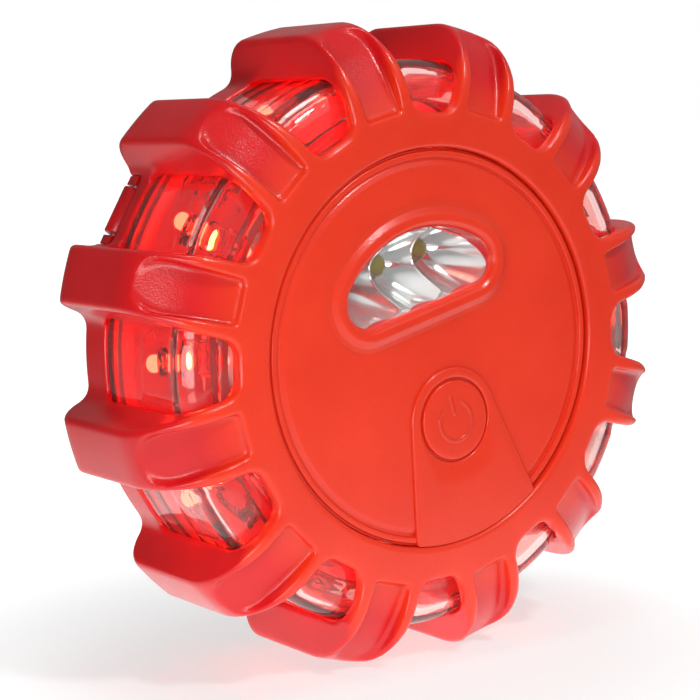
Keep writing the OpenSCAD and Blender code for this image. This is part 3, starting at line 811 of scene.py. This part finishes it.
# ---------------------------------------------------------------- CAD nodes kept
def paint(material, *nodes):
    """Gives CAD nodes their material."""
    for n in nodes:
        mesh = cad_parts[n].data
        mesh.materials.clear()
        mesh.materials.append(material)


paint(window_clear, "lamp_window")
paint(board_white, "led_board")
paint(black, "board_parts", "switch_body", "switch_plunger")
paint(steel, "board_screws", "case_screws", "door_screws", "hook_pin")
paint(nickel, "contact_plates", "contact_springs", "magnets")
paint(jacket, "battery_cell_1", "battery_cell_2", "battery_cell_3")
paint(seal, "front_seal", "rear_seal", "door_seal")
paint(shell_red, "back_cover", "battery_door", "hanging_hook")


def soften(node, width):
    """Small round edges on a CAD piece; width in metres."""
    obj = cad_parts[node]
    weld = obj.modifiers.new("weld", "WELD")
    weld.merge_threshold = 0.000002
    bevel = obj.modifiers.new("bevel", "BEVEL")
    bevel.width = width
    bevel.segments = 2
    bevel.limit_method = "ANGLE"
    bevel.angle_limit = math.radians(42)
    bevel.use_clamp_overlap = True
    bevel.harden_normals = True


soften("hanging_hook", 0.0003)
soften("back_cover", 0.0002)
soften("battery_door", 0.00025)
soften("magnets", 0.0002)


# ---------------------------------------------------------------- stage
def light_path(nt, output):
    return nt.nodes.new("ShaderNodeLightPath").outputs[output]


def math_node(nt, operation, a, b):
    node = nt.nodes.new("ShaderNodeMath")
    node.operation = operation
    nt.links.new(a, node.inputs[0])
    nt.links.new(b, node.inputs[1])
    return node.outputs[0]


def towards(nt, coord, direction):
    """How far a direction points along another one."""
    node = nt.nodes.new("ShaderNodeVectorMath")
    node.operation = "DOT_PRODUCT"
    node.inputs[1].default_value = direction
    nt.links.new(coord, node.inputs[0])
    return node.outputs["Value"]


def soft_world():
    """White to the eye, and through the lens at the right; as light it is dim at the back on the
    left and brighter in front on the right."""
    world = bpy.data.worlds.new("studio")
    world.use_nodes = True
    nt = world.node_tree
    back = nt.nodes["Background"]
    coord = nt.nodes.new("ShaderNodeTexCoord").outputs["Generated"]
    side = map_range(nt, towards(nt, coord, (0.75, -0.62, 0.22)), -0.75, 0.55, 0.12, 0.36, smooth=True)
    right = map_range(nt, towards(nt, coord, (0.82, 0.25, 0.50)), 0.05, 0.65, 0, 1, smooth=True)
    through = math_node(nt, "MULTIPLY", light_path(nt, "Is Transmission Ray"), right)
    pick = nt.nodes.new("ShaderNodeMix")
    nt.links.new(math_node(nt, "MAXIMUM", light_path(nt, "Is Camera Ray"), through), pick.inputs["Factor"])
    nt.links.new(side, pick.inputs[2])
    pick.inputs[3].default_value = 1.0
    nt.links.new(pick.outputs[0], back.inputs["Strength"])
    back.inputs["Color"].default_value = (1, 1, 1, 1)
    bpy.context.scene.world = world


def add_light(kind, name, place, power):
    light = bpy.data.lights.new(name, kind)
    light.energy = power
    obj = bpy.data.objects.new(name, light)
    obj.location = place
    bpy.context.scene.collection.objects.link(obj)
    return obj


def add_area(name, place, size, power):
    """Round lamp aimed at the middle of the flare."""
    obj = add_light("AREA", name, place, power)
    obj.data.shape = "DISK"
    obj.data.size = size
    obj.rotation_mode = "QUATERNION"
    obj.rotation_quaternion = (Vector((0, 0, 0.05)) - Vector(place)).to_track_quat("-Z", "Y")


def make_floor():
    """Pale floor: white to the eye further away, with a painted shadow that dims it to the eye near the flare,
    and bright as light only near the flare.
    """
    bpy.ops.mesh.primitive_plane_add(size=12, location=(0, 0, 0))
    floor = bpy.context.object
    floor.name = "floor"
    m, nt, b = new_material("floor_white")
    put(b, base=(0.36, 0.39, 0.39, 1), rough=0.9, spec=0.1, emit_color=(1, 1, 1, 1))
    coord = nt.nodes.new("ShaderNodeTexCoord")
    length = nt.nodes.new("ShaderNodeVectorMath")
    length.operation = "LENGTH"
    nt.links.new(coord.outputs["Object"], length.inputs[0])
    far = length.outputs["Value"]
    pick = nt.nodes.new("ShaderNodeMix")
    nt.links.new(light_path(nt, "Is Camera Ray"), pick.inputs["Factor"])
    nt.links.new(map_range(nt, far, 0.08, 0.24, 1.0, 0.03), pick.inputs[2])
    # Painted shadow: to the eye the floor's glow drops from 1.0 to 0.6 towards the middle of the flare.
    nt.links.new(map_range(nt, far, 0.03, 0.12, 0.60, 1.00, smooth=True), pick.inputs[3])
    nt.links.new(pick.outputs[0], b.inputs["Emission Strength"])
    floor.data.materials.append(m)


def make_lights():
    add_area("front", (0.45, -0.95, 0.85), 0.8, 1.0)
    add_area("slash", (0.06, -0.62, 0.80), 0.11, 3.25)
    add_area("low", (-0.24, -0.17, 0.012), 0.22, 0.62)
    add_area("top", (-0.05, -0.10, 0.95), 0.25, 1.2)
    # The lit red LEDs fill the lens with red light
    tip = LED_FOOT + 8.8
    for k in range(LOBES):
        a = k * SECTOR
        place = world_co([(tip * math.sin(a), tip * math.cos(a), BOARD_Z)])[0]
        red = add_light("POINT", "red_led_light", place, 0.0050).data
        red.color = (1.0, 0.03, 0.015)
        red.shadow_soft_size = 0.0015


make_floor()
soft_world()
make_lights()
bpy.context.scene.view_settings.view_transform = "Standard"
